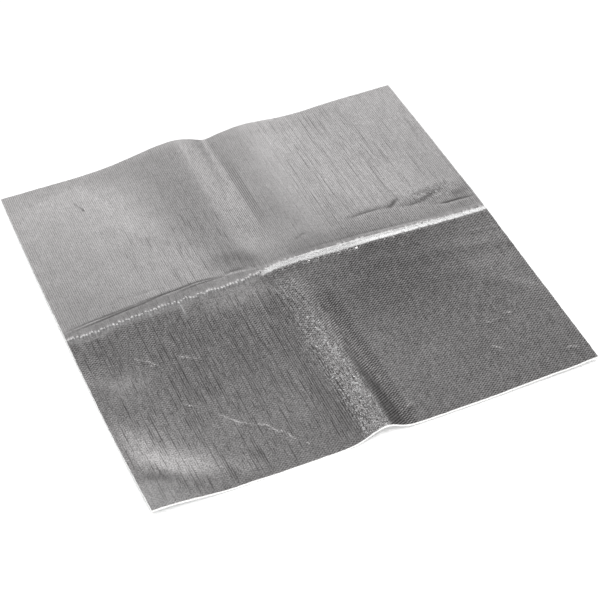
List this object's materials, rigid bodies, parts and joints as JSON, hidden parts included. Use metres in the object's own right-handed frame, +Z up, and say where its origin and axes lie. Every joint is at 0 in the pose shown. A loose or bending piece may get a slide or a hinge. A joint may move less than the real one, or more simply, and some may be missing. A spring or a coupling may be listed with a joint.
{
  "type": "foil-faced foam sleeping pad",
  "caption": "Thin square foam pad faced with bright metallised cloth, opened out from a fold in four, with a long crease and a soft cross crease that fold it into a small packet.",
  "frame": {"origin": "centre of the pad's outline, on the surface it lies on", "axes": "+X along the long crease, +Y across it towards the far edge, +Z up out of the foil face"},
  "size_m": [0.506, 0.5, 0.0186],
  "materials": {
    "foil_face": "bright metallised film, finely ribbed and crumpled",
    "carrier_cloth": "woven cloth, matte",
    "foam_core": "white closed-cell foam, matte",
    "backing_fleece": "pale non-woven fleece, matte"
  },
  "bodies": {
    "south_west": {"foil_face_south_west": "foil_face", "carrier_cloth_south_west": "carrier_cloth", "foam_core_south_west": "foam_core", "backing_fleece_south_west": "backing_fleece"},
    "south_spine": {"foil_face_south_spine": "foil_face", "carrier_cloth_south_spine": "carrier_cloth", "foam_core_south_spine": "foam_core", "backing_fleece_south_spine": "backing_fleece"},
    "south_east": {"foil_face_south_east": "foil_face", "carrier_cloth_south_east": "carrier_cloth", "foam_core_south_east": "foam_core", "backing_fleece_south_east": "backing_fleece"},
    "north_west": {"foil_face_north_west": "foil_face", "carrier_cloth_north_west": "carrier_cloth", "foam_core_north_west": "foam_core", "backing_fleece_north_west": "backing_fleece"},
    "north_spine": {"foil_face_north_spine": "foil_face", "carrier_cloth_north_spine": "carrier_cloth", "foam_core_north_spine": "foam_core", "backing_fleece_north_spine": "backing_fleece"},
    "north_east": {"foil_face_north_east": "foil_face", "carrier_cloth_north_east": "carrier_cloth", "foam_core_north_east": "foam_core", "backing_fleece_north_east": "backing_fleece"}
  },
  "joints": [
    {"name": "long_fold_west", "type": "hinge", "parent": "south_west", "child": "north_west", "pos_m": [-0.13, 0.008, 0.015], "axis": [1, 0, 0], "range_deg": [0, 179.5]},
    {"name": "cross_fold_west", "type": "hinge", "parent": "south_west", "child": "south_spine", "pos_m": [-0.015, -0.12, 0.014], "axis": [0, -1, 0], "range_deg": [0, 89]},
    {"name": "cross_fold_east", "type": "hinge", "parent": "south_spine", "child": "south_east", "pos_m": [0.022, -0.12, 0.0114], "axis": [0, -1, 0], "range_deg": [0, 89]},
    {"name": "long_fold_spine", "type": "hinge", "parent": "south_spine", "child": "north_spine", "pos_m": [0.0035, 0.008, 0.015], "axis": [1, 0, 0], "range_deg": [0, 179.5]},
    {"name": "long_fold_east", "type": "hinge", "parent": "south_east", "child": "north_east", "pos_m": [0.13, 0.008, 0.015], "axis": [1, 0, 0], "range_deg": [0, 179.5]}
  ],
  "couplings": [
    {"joint": "long_fold_spine", "follows": "long_fold_west", "ratio": 1},
    {"joint": "long_fold_east", "follows": "long_fold_west", "ratio": 1},
    {"joint": "cross_fold_east", "follows": "cross_fold_west", "ratio": 1}
  ]
}
